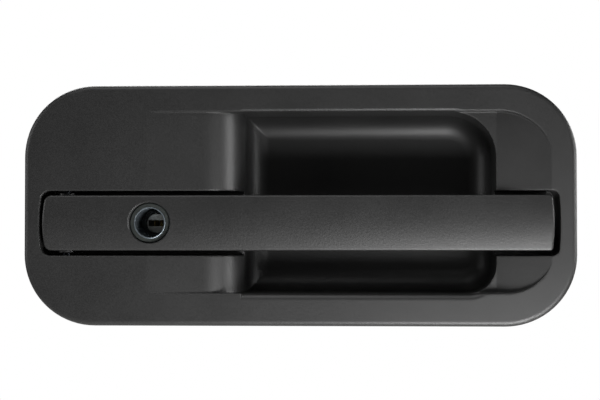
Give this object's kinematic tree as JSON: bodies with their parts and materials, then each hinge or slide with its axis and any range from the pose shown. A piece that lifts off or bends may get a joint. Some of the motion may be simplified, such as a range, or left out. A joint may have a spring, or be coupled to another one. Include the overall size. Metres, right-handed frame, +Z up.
{
  "type": "vehicle door handle",
  "caption": "Flush pull handle for a vehicle door: black plate with a deep finger bowl and a hinged pull bar with a key lock, sprung release crank behind.",
  "frame": {"origin": "middle of the four mounting studs, in the plane of the door skin that the gasket seals on", "axes": "+X along the handle from the hinge end to the free end, +Y into the door, +Z up"},
  "size_m": [0.232, 0.0607, 0.1012],
  "materials": {
    "plate_plastic": "fine moulded grain, black",
    "bar_plastic": "moulded leather-like grain, black",
    "gasket_foam": "closed-cell foam, dark grey",
    "black_rubber": "matte moulded rubber",
    "plated_steel": "bright zinc plate",
    "black_oxide_steel": "black oxide, oiled",
    "spring_steel": "oiled spring steel",
    "black_diecast": "black powder coat on die-cast zinc",
    "cast_aluminium": "as-cast, fine shot-blasted",
    "dark_chrome": "smoked chrome plate, satin",
    "nickel": "satin nickel plate",
    "brass": "stamped, plain",
    "black_acetal": "turned acetal, satin",
    "rod_clip_nylon": "natural nylon, satin"
  },
  "bodies": {
    "housing": {"bezel_plate": "plate_plastic", "door_gasket": "gasket_foam", "mounting_studs": "plated_steel", "bar_stops": "black_rubber", "slot_seal": "black_rubber", "hinge_pin": "black_oxide_steel", "hinge_pin_rings": "black_oxide_steel", "carrier": "cast_aluminium", "carrier_screws": "plated_steel", "crank_shaft": "plated_steel", "crank_shaft_ring": "spring_steel"},
    "grip": {"grip_shell": "bar_plastic", "grip_backplate": "black_diecast", "grip_screws": "plated_steel", "hinge_bushes": "black_acetal", "pull_hook": "plated_steel", "hook_screws": "plated_steel", "lock_barrel": "black_diecast", "key_guide": "dark_chrome", "barrel_seal": "black_rubber", "barrel_clip": "spring_steel"},
    "plug": {"lock_plug": "nickel", "plug_wafers": "brass", "cam_lever": "plated_steel", "cam_screw": "plated_steel", "lock_rod_clip": "rod_clip_nylon"},
    "crank": {"release_crank": "plated_steel", "crank_bushes": "black_acetal", "roller_pin": "plated_steel", "latch_rod_clip": "rod_clip_nylon", "crank_spring": "spring_steel"},
    "roller": {"crank_roller": "plated_steel"}
  },
  "joints": [
    {"name": "grip_hinge", "type": "hinge", "parent": "housing", "child": "grip", "pos_m": [-0.099, -0.001, -0.00735], "axis": [0, 0, -1], "range_deg": [0, 7]},
    {"name": "crank_turn", "type": "hinge", "parent": "housing", "child": "crank", "pos_m": [0.097, 0.03, 0.01935], "axis": [-1, 0, 0], "range_deg": [0, 50.4], "stiffness_Nm_per_rad": 0.2, "springref_deg": -85.94, "deforming": ["crank_spring"]},
    {"name": "roller_spin", "type": "hinge", "parent": "crank", "child": "roller", "pos_m": [0.097, 0.0419, -0.006], "axis": [1, 0, 0], "continuous": true},
    {"name": "lock_turn", "type": "hinge", "parent": "grip", "child": "plug", "pos_m": [-0.0627, 0, -0.00735], "axis": [0, 1, 0], "range_deg": [-75, 75]}
  ],
  "couplings": [
    {"joint": "crank_turn", "follows": "grip_hinge", "ratio": 7.1857}
  ]
}
